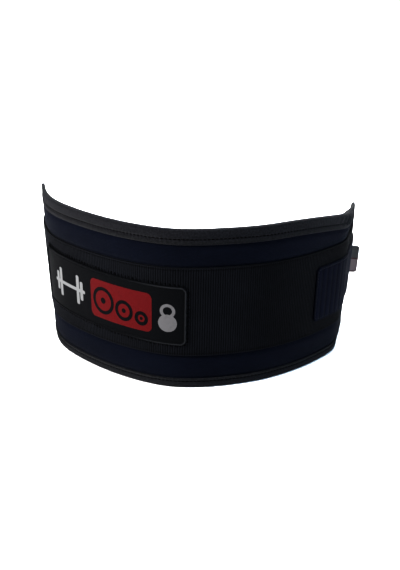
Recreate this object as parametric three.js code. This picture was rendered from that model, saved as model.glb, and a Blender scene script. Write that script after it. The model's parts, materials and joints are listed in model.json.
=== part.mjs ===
// Weightlifting belt. A padded wall is bent round the waist and bound along its edge. A ribbed webbing
// band, a badge, a closing strap and a small fold label are sewn on its outer face.
// Millimetres, +Z up. The front faces -Y, and the lower edge stands on z = 0.
//
// Every piece is laid out on the flat wall first, as (along, height, depth). Along runs from left to
// right over the outer face, with 0 near the middle of the panel. Depth is 0 on the outer face of the
// edge tape and grows towards the waist. place() then bends that layout into the belt's standing form.

import * as THREE from 'three';

// Panel, with its two ends measured from along 0
const panelLeft = 250;
const panelRight = 236;
const paddingThickness = 4.8;
const endPaddingThickness = 0.8;
const endTaper = 105;
const pillowRise = 1.5;
const pillowReach = 3;

// Bare bands of the panel, below and above the webbing
const lowerBand = 20.6;
const upperBandLeft = 21.2;
const upperBandMiddle = 19.2;
const upperBandRight = 3.5;

// Share of the right reach at which the upper edge begins to fall
const rightFallStart = 0.25;

// Edge tape, folded over the panel's edge and sewn through
const tapeThickness = 0.8;
const topTapeWidth = 12.8;
const lowerTapeWidth = 8.5;
const endTapeWidth = 10;
const innerTapeWidth = 9;
const tapeCornerRadius = 1.2;
const topHemWidth = 3.2;
const lowerHemWidth = 1.2;
const hemRise = 0.5;
const crownRounding = 2.6;
const crownThickness = 1.6;

// Webbing band and the tab it forms past the left end
const webHeight = 76.2;
const webThickness = 1.5;
const webStandOut = 0.6;
const webEndGap = 5;
const webRampGap = 4;
const webRampLength = 18;
const tabLength = 45;
const tabCornerRadius = 20;

// Badge, placed from the panel's left end and from the webbing's middle line
const badgeFromEnd = 57;
const badgeLength = 166;
const badgeHeight = 51;
const badgeRise = -0.7;
const badgeSlope = -0.03;
const badgeThickness = 1.2;
const badgeBorderWidth = 2.2;
const badgeBorderRise = 0.4;
const badgeCornerRadius = 5;

// Closing strap, with its heights measured from the webbing's middle line
const strapSewnLength = 138;
const strapHeight = 50;
const strapThickness = 1.3;
const strapRise = -1.3;
const strapTabRise = -9.2;
const strapCornerRadius = 5;
const strapOverlap = 36;
const strapSag = 20;
const rearReach = 42;

// Fold label, placed from the panel's right end, level with the middle of the strap
const labelFromEnd = 14;
const labelHeight = 26.4;
const labelReach = 7.4;
const labelThickness = 0.9;
const labelFlange = 6;

// Clearance between pieces that are sewn together
const seamGap = 0.3;

// Facets: their length, the width of a sharp step, and their number round a corner
const facetLength = 9.5;
const facetClearShare = 0.2;
const lineStep = 1;
const sharpStep = 0.3;
const cornerSteps = 5;
const tapeLowerCornerSteps = 4;
const tapeTopCornerSteps = 6;
const tapeEndShares = [0.33, 0.67];

// Rows across a bare band, as shares of its height
const bandShares = [0, 0.12, 0.5, 0.88, 1];

// Section of the tape's crown: flat share of the wall's thickness, and the shoulder beside it
const crownFlatShare = 0.28;
const crownShoulder = { inward: 0.3, across: 0.4 };

// How nearly upright the edge must face for the tape to have its hem, from 0 to 1
const hemFade = 0.9;

// How the strap's droop gathers towards the middle of the back
const sagPower = 1.4;

// The standing form: the wall's heading in degrees from +X, at shares of the panel's left or right reach
const bends = [
  { at: -1.18, heading: -112 },
  { at: -1.00, heading: -85 },
  { at: -0.95, heading: -83 },
  { at: -0.85, heading: -80 },
  { at: -0.75, heading: -69 },
  { at: -0.64, heading: -54 },
  { at: -0.43, heading: -42 },
  { at: -0.32, heading: -34 },
  { at: -0.21, heading: -22 },
  { at: -0.11, heading: 2 },
  { at: 0.00, heading: 17 },
  { at: 0.11, heading: 25 },
  { at: 0.22, heading: 37 },
  { at: 0.45, heading: 52 },
  { at: 0.56, heading: 57 },
  { at: 0.67, heading: 82 },
  { at: 0.79, heading: 78 },
  { at: 0.90, heading: 84 },
  { at: 1.00, heading: 94 },
];

// How far the wall leans outward, in degrees from upright, at the same shares
const leans = [
  { at: -0.95, lean: 4.5 },
  { at: 0.00, lean: 0.7 },
  { at: 1.00, lean: 3.8 },
];

// Lines and depths that several pieces share
const webFoot = lowerTapeWidth + lowerBand;
const webTop = webFoot + webHeight;
const webMiddle = webFoot + webHeight / 2;
const webInnerDepth = webThickness - webStandOut;
const webBedDepth = webInnerDepth + seamGap;
const tapedDepth = tapeThickness + seamGap;
const panelInset = crownThickness + seamGap;
const widestTape = Math.max(topTapeWidth, lowerTapeWidth, endTapeWidth, innerTapeWidth);
const cornerRadius = widestTape + tapeCornerRadius;
const tabEnd = -(panelLeft + tabLength);

// Share of the way from along 0 to the panel's end on the same side
function shareOf(along) {
  return along / (along < 0 ? panelLeft : panelRight);
}

// Distance still to go from a place to the panel's end on the same side
function toPanelEnd(along) {
  return (along < 0 ? panelLeft : panelRight) - Math.abs(along);
}

function blend(from, to, share) {
  return from + (to - from) * share;
}

function smooth(from, to, value) {
  return THREE.MathUtils.smoothstep(value, from, to);
}

// Reads a column of a table of rows at a place between its rows
function readTable(rows, column, at) {
  const last = rows.length - 1;
  if (at <= rows[0].at) return rows[0][column];
  if (at >= rows[last].at) return rows[last][column];
  const next = rows.findIndex((row) => row.at > at);
  const before = rows[next - 1];
  const share = (at - before.at) / (rows[next].at - before.at);
  return blend(before[column], rows[next][column], share);
}

function headingAt(along) {
  return THREE.MathUtils.degToRad(readTable(bends, 'heading', shareOf(along)));
}

// Walks the wall's foot from along 0 to one end
function walkWall(direction, reach) {
  const count = Math.ceil(reach / lineStep);
  const step = reach / count;
  const spots = [new THREE.Vector2(0, 0)];
  for (let i = 0; i < count; i += 1) {
    const heading = headingAt(direction * (i + 0.5) * step);
    const move = new THREE.Vector2(Math.cos(heading), Math.sin(heading)).multiplyScalar(direction * step);
    spots.push(spots[i].clone().add(move));
  }
  return { spots, step };
}

const leftWalk = walkWall(-1, -tabEnd);
const rightWalk = walkWall(1, panelRight);

function wallSpot(along) {
  const walk = along < 0 ? leftWalk : rightWalk;
  const place = Math.abs(along) / walk.step;
  const index = Math.min(Math.floor(place), walk.spots.length - 2);
  return walk.spots[index].clone().lerp(walk.spots[index + 1], place - index);
}

// The strap's free stretch round the back, from the panel's right end to the end of the tab
function makeRearLine() {
  const start = wallSpot(panelRight);
  const finish = wallSpot(tabEnd);
  const leave = new THREE.Vector2(Math.cos(headingAt(panelRight)), Math.sin(headingAt(panelRight)));
  const arrive = new THREE.Vector2(Math.cos(headingAt(tabEnd)), Math.sin(headingAt(tabEnd)));
  return new THREE.CubicBezierCurve(
    start,
    start.clone().addScaledVector(leave, rearReach),
    finish.clone().addScaledVector(arrive, -rearReach),
    finish,
  );
}

const rearLine = makeRearLine();
const rearLength = rearLine.getLength();
const loopLength = panelRight - tabEnd + rearLength;

// How far along the free stretch round the back a place lies, from 0 to 1
function rearShare(along) {
  return THREE.MathUtils.clamp((along - panelRight) / rearLength, 0, 1);
}

function leanAt(along) {
  return readTable(leans, 'lean', shareOf(along));
}

// Foot of the outer face, its heading and its lean, anywhere on the closed loop
function track(along) {
  if (along > panelRight + rearLength) return track(along - loopLength);
  if (along <= panelRight) {
    return { spot: wallSpot(along), heading: headingAt(along), lean: leanAt(along) };
  }
  const share = rearShare(along);
  const tangent = rearLine.getTangentAt(share);
  return {
    spot: rearLine.getPointAt(share),
    heading: Math.atan2(tangent.y, tangent.x),
    lean: blend(leanAt(panelRight), leanAt(tabEnd), share),
  };
}

// Bends a point of the flat layout into the belt's form. Heights stay as they are.
function place(along, height, depth) {
  const { spot, heading, lean } = track(along);
  const outward = height * Math.tan(THREE.MathUtils.degToRad(lean)) - depth;
  return [spot.x + Math.sin(heading) * outward, spot.y - Math.cos(heading) * outward, height];
}

// The wall thins out towards the panel's ends
function thicknessAt(along) {
  const padding = blend(endPaddingThickness, paddingThickness, smooth(0, endTaper, toPanelEnd(along)));
  return padding + 2 * tapedDepth;
}

// Upper edge of the panel before its corners are rounded
function topEdge(along) {
  const share = shareOf(along);
  const band = share < 0
    ? blend(upperBandMiddle, upperBandLeft, share * share)
    : blend(upperBandMiddle, upperBandRight, smooth(rightFallStart, 1, share));
  return webTop + band + topTapeWidth;
}

function topSlope(along) {
  return (topEdge(along + lineStep) - topEdge(along - lineStep)) / (2 * lineStep);
}

// The two rounded upper corners: centre, and the angle at which the arc meets the upper edge
function makeTopCorner(side) {
  const centreAlong = side * ((side < 0 ? panelLeft : panelRight) - cornerRadius);
  const joinAngle = Math.PI / 2 + Math.atan(topSlope(centreAlong));
  const joinAlong = centreAlong + cornerRadius * Math.cos(joinAngle);
  const centreHeight = topEdge(joinAlong) - cornerRadius * Math.sin(joinAngle);
  return { side, centreAlong, centreHeight, joinAngle, joinAlong };
}

const leftCorner = makeTopCorner(-1);
const rightCorner = makeTopCorner(1);

// Facet stations along the wall, shared by all pieces so that their facets run side by side
const facetCount = Math.round((panelLeft + panelRight) / facetLength);
const facetStep = (panelLeft + panelRight) / facetCount;

function stationsBetween(from, to) {
  const stations = [from];
  const first = Math.ceil((from + panelLeft) / facetStep + facetClearShare);
  for (let i = first; i * facetStep - panelLeft < to - facetStep * facetClearShare; i += 1) {
    stations.push(i * facetStep - panelLeft);
  }
  stations.push(to);
  return stations;
}

// Stations that also follow the round corners of a piece
function roundedStations(from, to, startRadius, endRadius) {
  const stations = stationsBetween(from + startRadius, to - endRadius);
  for (let i = 1; i <= cornerSteps && startRadius > 0; i += 1) {
    stations.unshift(from + startRadius * (1 - Math.sin((i / cornerSteps) * Math.PI / 2)));
  }
  for (let i = 1; i <= cornerSteps && endRadius > 0; i += 1) {
    stations.push(to - endRadius * (1 - Math.sin((i / cornerSteps) * Math.PI / 2)));
  }
  return stations;
}

// How much a round corner takes off the height at a distance from the end
function cornerCut(distance, radius) {
  if (distance >= radius) return 0;
  const reach = radius - distance;
  return radius - Math.sqrt(Math.max(radius * radius - reach * reach, 0));
}

// A closed solid between an outer and an inner face, over columns along the belt and rows up it
function buildSlab({ stations, rowsAt, outerAt, innerAt }) {
  const positions = [];
  const indices = [];
  const columns = stations.map((along) => rowsAt(along));
  const rowCount = columns[0].length;
  const faceSize = stations.length * rowCount;
  for (const depthAt of [outerAt, innerAt]) {
    stations.forEach((along, i) => {
      for (const height of columns[i]) positions.push(...place(along, height, depthAt(along, height)));
    });
  }
  const outer = (i, j) => i * rowCount + j;
  const inner = (i, j) => faceSize + outer(i, j);
  const quad = (a, b, c, d) => indices.push(a, b, c, a, c, d);
  const lastColumn = stations.length - 1;
  const lastRow = rowCount - 1;
  for (let i = 0; i < lastColumn; i += 1) {
    for (let j = 0; j < lastRow; j += 1) {
      quad(outer(i, j), outer(i + 1, j), outer(i + 1, j + 1), outer(i, j + 1));
      quad(inner(i, j), inner(i, j + 1), inner(i + 1, j + 1), inner(i + 1, j));
    }
    quad(outer(i, 0), inner(i, 0), inner(i + 1, 0), outer(i + 1, 0));
    quad(outer(i, lastRow), outer(i + 1, lastRow), inner(i + 1, lastRow), inner(i, lastRow));
  }
  for (let j = 0; j < lastRow; j += 1) {
    quad(outer(0, j), outer(0, j + 1), inner(0, j + 1), inner(0, j));
    quad(outer(lastColumn, j), inner(lastColumn, j), inner(lastColumn, j + 1), outer(lastColumn, j + 1));
  }
  return makeGeometry(positions, indices);
}

// A closed loop of equal sections, each a ring of points
function buildLoop(rings) {
  const positions = rings.flat(2);
  const indices = [];
  const ringSize = rings[0].length;
  rings.forEach((ring, i) => {
    const here = i * ringSize;
    const next = ((i + 1) % rings.length) * ringSize;
    for (let k = 0; k < ringSize; k += 1) {
      const after = (k + 1) % ringSize;
      indices.push(here + k, here + after, next + after, here + k, next + after, next + k);
    }
  });
  return makeGeometry(positions, indices);
}

function makeGeometry(positions, indices) {
  const geometry = new THREE.BufferGeometry();
  geometry.setAttribute('position', new THREE.Float32BufferAttribute(positions, 3));
  geometry.setIndex(indices);
  geometry.computeVertexNormals();
  return geometry;
}

function makeMesh(name, geometry, color, roughness) {
  const material = new THREE.MeshStandardMaterial({ color, roughness, metalness: 0 });
  const mesh = new THREE.Mesh(geometry, material);
  mesh.name = name;
  return mesh;
}

// Padded panel. It ends inside the tape's crown.
function panelBottom(along) {
  const distance = toPanelEnd(along) - panelInset;
  return panelInset + cornerCut(distance, cornerRadius - panelInset);
}

function panelTop(along) {
  const corner = along < 0 ? leftCorner : rightCorner;
  const past = corner.side * (along - corner.joinAlong);
  if (past <= 0) return topEdge(along) - panelInset;
  const radius = cornerRadius - panelInset;
  const reach = Math.abs(along - corner.centreAlong);
  return corner.centreHeight + Math.sqrt(Math.max(radius * radius - reach * reach, 0));
}

// Rows of the panel: under the tape, on the two bare bands and along the webbing's edges
function panelRows(along) {
  const bandRows = (foot, top) => bandShares.map((share) => blend(foot + seamGap, top - seamGap, share));
  const rows = [
    panelInset,
    ...bandRows(lowerTapeWidth, webFoot),
    ...bandRows(webTop, topEdge(along) - topTapeWidth),
    topEdge(along) - panelInset,
  ];
  const foot = panelBottom(along);
  const scale = (panelTop(along) - foot) / (rows[rows.length - 1] - rows[0]);
  return rows.map((height) => foot + (height - rows[0]) * scale);
}

// Distance in from the tape, with the rounded ends counted as taped all over
function distanceFromTape(along, height) {
  const fromEnd = toPanelEnd(along) - cornerRadius;
  const fromFoot = height - lowerTapeWidth;
  const fromTop = topEdge(along) - topTapeWidth - height;
  return Math.min(fromEnd, fromFoot, fromTop);
}

// The padding stands full in the middle of a bare band and is pressed flat at its seams
function panelOuter(along, height) {
  const fromTape = distanceFromTape(along, height);
  const fromWeb = Math.max(webFoot - height, height - webTop);
  const bed = fromTape < 2 * seamGap ? tapedDepth : webBedDepth;
  return bed - pillowRise * smooth(2 * seamGap, pillowReach, Math.min(fromTape, fromWeb));
}

function panelInner(along, height) {
  const full = smooth(2 * seamGap, pillowReach, distanceFromTape(along, height));
  return thicknessAt(along) - tapedDepth + pillowRise * full;
}

const bodyPanel = makeMesh(
  'body_panel',
  buildSlab({
    stations: roundedStations(
      -panelLeft + panelInset,
      panelRight - panelInset,
      cornerRadius - panelInset,
      cornerRadius - panelInset,
    ),
    rowsAt: panelRows,
    outerAt: panelOuter,
    innerAt: panelInner,
  }),
  0x0b0d1e,
  0.9,
);

// Outline of the panel's edge, walked left to right along the foot and back along the top.
// Each point has the direction that leads out of the wall.
function edgeOutline() {
  const outline = [];
  const add = (along, height, angle) => outline.push({ along, height, angle });
  const arc = (centreAlong, centreHeight, from, to, steps) => {
    for (let i = 0; i <= steps; i += 1) {
      const angle = blend(from, to, i / steps);
      const along = centreAlong + cornerRadius * Math.cos(angle);
      add(along, centreHeight + cornerRadius * Math.sin(angle), angle);
    }
  };
  const footLeft = leftCorner.centreAlong;
  const footRight = rightCorner.centreAlong;
  for (const along of stationsBetween(footLeft, footRight).slice(1, -1)) add(along, 0, -Math.PI / 2);
  arc(footRight, cornerRadius, -Math.PI / 2, 0, tapeLowerCornerSteps);
  for (const share of tapeEndShares) {
    add(panelRight, blend(cornerRadius, rightCorner.centreHeight, share), 0);
  }
  arc(footRight, rightCorner.centreHeight, 0, rightCorner.joinAngle, tapeTopCornerSteps);
  const top = stationsBetween(leftCorner.joinAlong, rightCorner.joinAlong).slice(1, -1).reverse();
  for (const along of top) add(along, topEdge(along), Math.PI / 2 + Math.atan(topSlope(along)));
  arc(footLeft, leftCorner.centreHeight, leftCorner.joinAngle, Math.PI, tapeTopCornerSteps);
  for (const share of tapeEndShares) {
    add(-panelLeft, blend(leftCorner.centreHeight, cornerRadius, share), Math.PI);
  }
  arc(footLeft, cornerRadius, Math.PI, 1.5 * Math.PI, tapeLowerCornerSteps);
  return outline;
}

// Section of the folded tape as distances in from the edge and depths through the wall
function tapeSection(upward, back) {
  const width = blend(endTapeWidth, upward > 0 ? topTapeWidth : lowerTapeWidth, upward * upward);
  const hem = upward > 0 ? topHemWidth : lowerHemWidth;
  const rise = hemRise * smooth(hemFade, 1, Math.abs(upward));
  const crownDepth = back * (1 - crownFlatShare) / 2;
  const shoulderInward = crownRounding * crownShoulder.inward;
  const shoulderDepth = crownDepth * crownShoulder.across;
  return [
    [width, -rise],
    [width - hem, -rise],
    [width - hem - hemRise, 0],
    [crownRounding, 0],
    [shoulderInward, shoulderDepth],
    [0, crownDepth],
    [0, back - crownDepth],
    [shoulderInward, back - shoulderDepth],
    [crownRounding, back],
    [innerTapeWidth, back],
    [innerTapeWidth, back - tapeThickness],
    [crownThickness, back - tapeThickness],
    [crownThickness, tapeThickness],
    [width, tapeThickness],
  ];
}

// One ring of the tape, square to the panel's edge
function tapeRing({ along, height, angle }) {
  const outAlong = Math.cos(angle);
  const outHeight = Math.sin(angle);
  return tapeSection(outHeight, thicknessAt(along)).map(([inward, depth]) => (
    place(along - outAlong * inward, height - outHeight * inward, depth)
  ));
}

const edgeBinding = makeMesh('edge_binding', buildLoop(edgeOutline().map(tapeRing)), 0x17181c, 0.85);

// Webbing band. It steps up over the tape at the left end and runs on as the tab.
const webStepUp = webInnerDepth + seamGap;

function webLift(along) {
  const rampStart = -panelLeft + endTapeWidth + webRampGap;
  return webStepUp * (1 - smooth(rampStart, rampStart + webRampLength, along));
}

function webOuter(along) {
  return webInnerDepth - webThickness - webLift(along);
}

function webRows(along) {
  const cut = cornerCut(along - tabEnd, tabCornerRadius);
  return [webFoot + cut, webTop - cut];
}

const webBand = makeMesh(
  'web_band',
  buildSlab({
    stations: roundedStations(tabEnd, panelRight - endTapeWidth - webEndGap, tabCornerRadius, 0),
    rowsAt: webRows,
    outerAt: webOuter,
    innerAt: (along) => webOuter(along) + webThickness,
  }),
  0x0c0c10,
  0.8,
);

// Badge, with a raised border
const badgeStart = -panelLeft + badgeFromEnd;
const badgeEnd = badgeStart + badgeLength;

// Middle line of the badge, half its height, and the distance to its nearer end
function badgeAt(along) {
  const toEnd = Math.min(along - badgeStart, badgeEnd - along);
  const middle = webMiddle + badgeRise + badgeSlope * (along - (badgeStart + badgeEnd) / 2);
  const half = badgeHeight / 2 - cornerCut(toEnd, badgeCornerRadius);
  return { middle, half, toEnd };
}

function badgeRows(along) {
  const { middle, half } = badgeAt(along);
  const face = half - badgeBorderWidth;
  return [-half, -face - sharpStep, -face, face, face + sharpStep, half].map((rise) => middle + rise);
}

function badgeOuter(along, height) {
  const { middle, half, toEnd } = badgeAt(along);
  const fromEdge = Math.min(toEnd, half - Math.abs(height - middle));
  const border = fromEdge > badgeBorderWidth - sharpStep / 2 ? 0 : badgeBorderRise;
  return webOuter(along) - seamGap - badgeThickness - border;
}

function badgeStations() {
  const stations = roundedStations(badgeStart, badgeEnd, badgeCornerRadius, badgeCornerRadius);
  stations.push(badgeStart + badgeBorderWidth - sharpStep, badgeStart + badgeBorderWidth);
  stations.push(badgeEnd - badgeBorderWidth + sharpStep, badgeEnd - badgeBorderWidth);
  return stations.sort((a, b) => a - b);
}

const badgePatch = makeMesh(
  'badge_patch',
  buildSlab({
    stations: badgeStations(),
    rowsAt: badgeRows,
    outerAt: badgeOuter,
    innerAt: (along) => webOuter(along) - seamGap,
  }),
  0x141419,
  0.6,
);

// Closing strap: sewn on the right, free round the back, and closed over the tab at the left
const strapStart = panelRight - strapSewnLength;
const strapEnd = loopLength + tabEnd + strapOverlap;

function strapMiddle(along) {
  const share = rearShare(along);
  const sag = strapSag * Math.sin(share * Math.PI) ** sagPower;
  return webMiddle + blend(strapRise, strapTabRise, share) - sag;
}

function strapRows(along) {
  const toEnd = Math.min(along - strapStart, strapEnd - along);
  const half = strapHeight / 2 - cornerCut(toEnd, strapCornerRadius);
  return [strapMiddle(along) - half, strapMiddle(along) + half];
}

function strapOuter(along) {
  return blend(webOuter(strapStart), webOuter(tabEnd), rearShare(along)) - seamGap - strapThickness;
}

// The sewn and free stretches, then the overlap with the tab's own stations, one loop further on
function strapStations() {
  const sewn = roundedStations(strapStart, panelRight, strapCornerRadius, 0);
  const rearCount = Math.ceil(rearLength / facetLength);
  const rearStep = rearLength / rearCount;
  const free = Array.from({ length: rearCount - 1 }, (_, i) => panelRight + (i + 1) * rearStep);
  const overlap = roundedStations(tabEnd, tabEnd + strapOverlap, 0, strapCornerRadius);
  return [...sewn, ...free, ...overlap.map((along) => along + loopLength)];
}

const closingStrap = makeMesh(
  'closing_strap',
  buildSlab({
    stations: strapStations(),
    rowsAt: strapRows,
    outerAt: strapOuter,
    innerAt: (along) => strapOuter(along) + strapThickness,
  }),
  0x0a0f2c,
  0.85,
);

// Fold label: one leg lies on the strap, the other stands out from it
const labelAlong = panelRight - labelFromEnd;
const labelFoot = strapMiddle(labelAlong) - labelHeight / 2;
const labelInnerDepth = strapOuter(labelAlong) - seamGap;
const labelTipDepth = labelInnerDepth - labelReach;

function labelOuter(along) {
  return along <= labelAlong + labelThickness ? labelTipDepth : labelInnerDepth - labelThickness;
}

const sideLabel = makeMesh(
  'side_label',
  buildSlab({
    stations: [
      labelAlong,
      labelAlong + labelThickness,
      labelAlong + labelThickness + sharpStep,
      labelAlong + labelFlange,
    ],
    rowsAt: () => [labelFoot, labelFoot + labelHeight],
    outerAt: labelOuter,
    innerAt: () => labelInnerDepth,
  }),
  0x5a4a4c,
  0.8,
);

// The belt, with its origin under the middle of its box
const belt = new THREE.Group();
belt.add(bodyPanel, edgeBinding, webBand, badgePatch, closingStrap, sideLabel);
const box = new THREE.Box3().setFromObject(belt);
const centre = box.getCenter(new THREE.Vector3());
belt.position.set(-centre.x, -centre.y, -box.min.z);
belt.updateMatrixWorld(true);

export default belt;
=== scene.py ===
"""Looks of the padded weightlifting belt: its cloth, ribbed webbing, badge, strap, label and stitching."""

import json
import math

import bpy
import numpy as np
from mathutils import Matrix, Vector

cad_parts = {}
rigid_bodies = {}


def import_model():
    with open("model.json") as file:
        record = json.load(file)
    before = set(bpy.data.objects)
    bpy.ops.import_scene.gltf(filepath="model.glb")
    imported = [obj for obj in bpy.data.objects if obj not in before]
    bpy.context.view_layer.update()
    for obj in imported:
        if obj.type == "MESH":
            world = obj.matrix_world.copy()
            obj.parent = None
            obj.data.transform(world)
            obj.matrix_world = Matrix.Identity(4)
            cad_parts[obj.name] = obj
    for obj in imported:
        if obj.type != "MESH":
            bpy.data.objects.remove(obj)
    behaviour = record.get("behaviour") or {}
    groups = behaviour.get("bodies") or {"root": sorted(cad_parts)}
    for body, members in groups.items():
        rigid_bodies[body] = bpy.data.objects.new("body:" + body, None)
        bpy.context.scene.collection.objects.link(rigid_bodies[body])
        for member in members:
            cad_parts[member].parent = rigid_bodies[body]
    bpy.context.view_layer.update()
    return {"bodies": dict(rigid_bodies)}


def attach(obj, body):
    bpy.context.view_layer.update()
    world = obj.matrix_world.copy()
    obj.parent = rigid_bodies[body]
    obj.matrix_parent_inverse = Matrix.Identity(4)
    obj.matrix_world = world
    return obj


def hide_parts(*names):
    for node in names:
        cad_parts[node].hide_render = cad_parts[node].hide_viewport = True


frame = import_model()
body = next(iter(frame["bodies"]))

MM = 0.001

# Sizes in millimetres, as in the part's source. Along runs from left to right over the outer face,
# height is above the surface that the belt stands on, and depth grows from the tape's face inwards.
PANEL_LEFT = 250.0
PANEL_RIGHT = 236.0
PADDING = 4.8
END_PADDING = 0.8
END_TAPER = 105.0
PILLOW_RISE = 1.5
LOWER_BAND = 20.6
UPPER_BAND_LEFT = 21.2
UPPER_BAND_MIDDLE = 19.2
UPPER_BAND_RIGHT = 3.5
RIGHT_FALL_START = 0.25
TAPE_THICKNESS = 0.8
TOP_TAPE_WIDTH = 12.8
LOWER_TAPE_WIDTH = 8.5
END_TAPE_WIDTH = 10.0
INNER_TAPE_WIDTH = 9.0
TOP_HEM_WIDTH = 3.2
LOWER_HEM_WIDTH = 1.2
HEM_RISE = 0.5
CORNER_RADIUS = 14.0
CROWN_ROUNDING = 2.6
CROWN_THICKNESS = 1.6
WEB_HEIGHT = 76.2
WEB_THICKNESS = 1.5
WEB_STAND_OUT = 0.6
WEB_END_GAP = 5.0
WEB_RAMP_GAP = 4.0
WEB_RAMP_LENGTH = 18.0
TAB_LENGTH = 45.0
TAB_CORNER_RADIUS = 20.0
BADGE_FROM_END = 57.0
BADGE_LENGTH = 166.0
BADGE_HEIGHT = 51.0
BADGE_RISE = -0.7
BADGE_SLOPE = -0.03
BADGE_THICKNESS = 1.2
BADGE_CORNER_RADIUS = 5.0
STRAP_SEWN_LENGTH = 138.0
STRAP_HEIGHT = 50.0
STRAP_THICKNESS = 1.3
STRAP_RISE = -1.3
STRAP_TAB_RISE = -9.2
STRAP_CORNER_RADIUS = 5.0
STRAP_OVERLAP = 36.0
STRAP_SAG = 20.0
SAG_POWER = 1.4
REAR_REACH = 42.0
LABEL_FROM_END = 14.0
LABEL_HEIGHT = 26.4
LABEL_REACH = 7.4
LABEL_THICKNESS = 0.9
LABEL_FLANGE = 6.0
SEAM_GAP = 0.3
LINE_STEP = 1.0
REAR_STEPS = 200

WEB_FOOT = LOWER_TAPE_WIDTH + LOWER_BAND
WEB_TOP = WEB_FOOT + WEB_HEIGHT
WEB_MIDDLE = WEB_FOOT + WEB_HEIGHT / 2
WEB_INNER_DEPTH = WEB_THICKNESS - WEB_STAND_OUT
TAPED_DEPTH = TAPE_THICKNESS + SEAM_GAP
PANEL_INSET = CROWN_THICKNESS + SEAM_GAP
TAB_END = -(PANEL_LEFT + TAB_LENGTH)
BADGE_START = -PANEL_LEFT + BADGE_FROM_END
BADGE_END = BADGE_START + BADGE_LENGTH

# At the panel's left end the webbing rises by its lift to pass over the tape
RAMP_START = -PANEL_LEFT + END_TAPE_WIDTH + WEB_RAMP_GAP
RAMP_END = RAMP_START + WEB_RAMP_LENGTH
WEB_LIFT = WEB_INNER_DEPTH + SEAM_GAP

# Where the layout's zero point lies in the part's frame, in millimetres
LAYOUT_ORIGIN = (16.969, -110.306)

# The standing form: the wall's heading in degrees from +X, at shares of the panel's left or right reach
BENDS = np.array([
    (-1.18, -112), (-1.00, -85), (-0.95, -83), (-0.85, -80), (-0.75, -69), (-0.64, -54), (-0.43, -42),
    (-0.32, -34), (-0.21, -22), (-0.11, 2), (0.00, 17), (0.11, 25), (0.22, 37), (0.45, 52), (0.56, 57),
    (0.67, 82), (0.79, 78), (0.90, 84), (1.00, 94),
])

# How far the wall leans outward, in degrees from upright, at the same shares
LEANS = np.array([(-0.95, 4.5), (0.00, 0.7), (1.00, 3.8)])


# The bent form
def share_of(along):
    return np.where(np.asarray(along) < 0, along / PANEL_LEFT, along / PANEL_RIGHT)


def to_panel_end(along):
    return np.where(np.asarray(along) < 0, PANEL_LEFT, PANEL_RIGHT) - np.abs(along)


def smooth(start, end, value):
    share = np.clip((value - start) / (end - start), 0, 1)
    return share * share * (3 - 2 * share)


def blend(start, end, share):
    return start + (end - start) * share


def run_lengths(points):
    """Running length at each point of a line."""
    return np.concatenate([[0], np.cumsum(np.linalg.norm(np.diff(points, axis=0), axis=1))])


def values_at(where, line, values):
    """Columns of values, read off at places along a line."""
    return np.column_stack([np.interp(where, line, column) for column in values.T])


def facing(angle):
    return np.stack([np.cos(angle), np.sin(angle)], -1)


def unit(vectors):
    return vectors / np.linalg.norm(vectors, axis=1)[:, None]


def heading_at(along):
    return np.radians(np.interp(share_of(along), BENDS[:, 0], BENDS[:, 1]))


def lean_at(along):
    return np.radians(np.interp(share_of(along), LEANS[:, 0], LEANS[:, 1]))


def walk_wall(direction, reach):
    """Places along the foot of the wall from the layout's zero point to one end."""
    count = math.ceil(reach / LINE_STEP)
    step = reach / count
    heading = heading_at(direction * (np.arange(count) + 0.5) * step)
    spots = np.vstack([np.zeros(2), np.cumsum(direction * step * facing(heading), 0)])
    return direction * step * np.arange(count + 1), spots


def rear_line(start, finish):
    """The strap's free stretch round the back: distances along it, places and headings."""
    leave = start + REAR_REACH * facing(heading_at(PANEL_RIGHT))
    arrive = finish - REAR_REACH * facing(heading_at(TAB_END))
    t = np.linspace(0, 1, REAR_STEPS + 1)[:, None]
    spots = start * (1 - t) ** 3 + 3 * leave * t * (1 - t) ** 2 + 3 * arrive * t * t * (1 - t) + finish * t**3
    tangents = np.gradient(spots, axis=0)
    return run_lengths(spots), spots, np.unwrap(np.arctan2(tangents[:, 1], tangents[:, 0]))


def make_loop():
    """Rows of along, x, y, heading and lean over the whole closed loop, and the rear stretch's length."""
    left_along, left_spots = walk_wall(-1, -TAB_END)
    right_along, right_spots = walk_wall(1, PANEL_RIGHT)
    lengths, rear_spots, rear_heading = rear_line(right_spots[-1], left_spots[-1])
    wall_along = np.concatenate([left_along[::-1], right_along[1:]])
    wall_spots = np.vstack([left_spots[::-1], right_spots[1:]])
    wall = np.column_stack([wall_along, wall_spots, heading_at(wall_along), lean_at(wall_along)])
    shares = lengths / lengths[-1]
    rear_lean = blend(lean_at(PANEL_RIGHT), lean_at(TAB_END), shares)
    rear = np.column_stack([PANEL_RIGHT + lengths, rear_spots, rear_heading, rear_lean])
    return np.vstack([wall, rear[1:]]), lengths[-1]


LOOP, REAR_LENGTH = make_loop()
LOOP_LENGTH = PANEL_RIGHT - TAB_END + REAR_LENGTH


def place(flat):
    """Bends points of the flat layout (along, height, depth) into the belt's form, in metres."""
    along, height, depth = flat.T
    along = np.where(along > PANEL_RIGHT + REAR_LENGTH, along - LOOP_LENGTH, along)
    x, y, heading, lean = values_at(along, LOOP[:, 0], LOOP[:, 1:]).T
    outward = height * np.tan(lean) - depth
    x = x + np.sin(heading) * outward + LAYOUT_ORIGIN[0]
    y = y - np.cos(heading) * outward + LAYOUT_ORIGIN[1]
    return np.column_stack([x, y, height]) * MM


# Forms of the pieces in the flat layout
def thickness_at(along):
    return blend(END_PADDING, PADDING, smooth(0, END_TAPER, to_panel_end(along))) + 2 * TAPED_DEPTH


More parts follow.
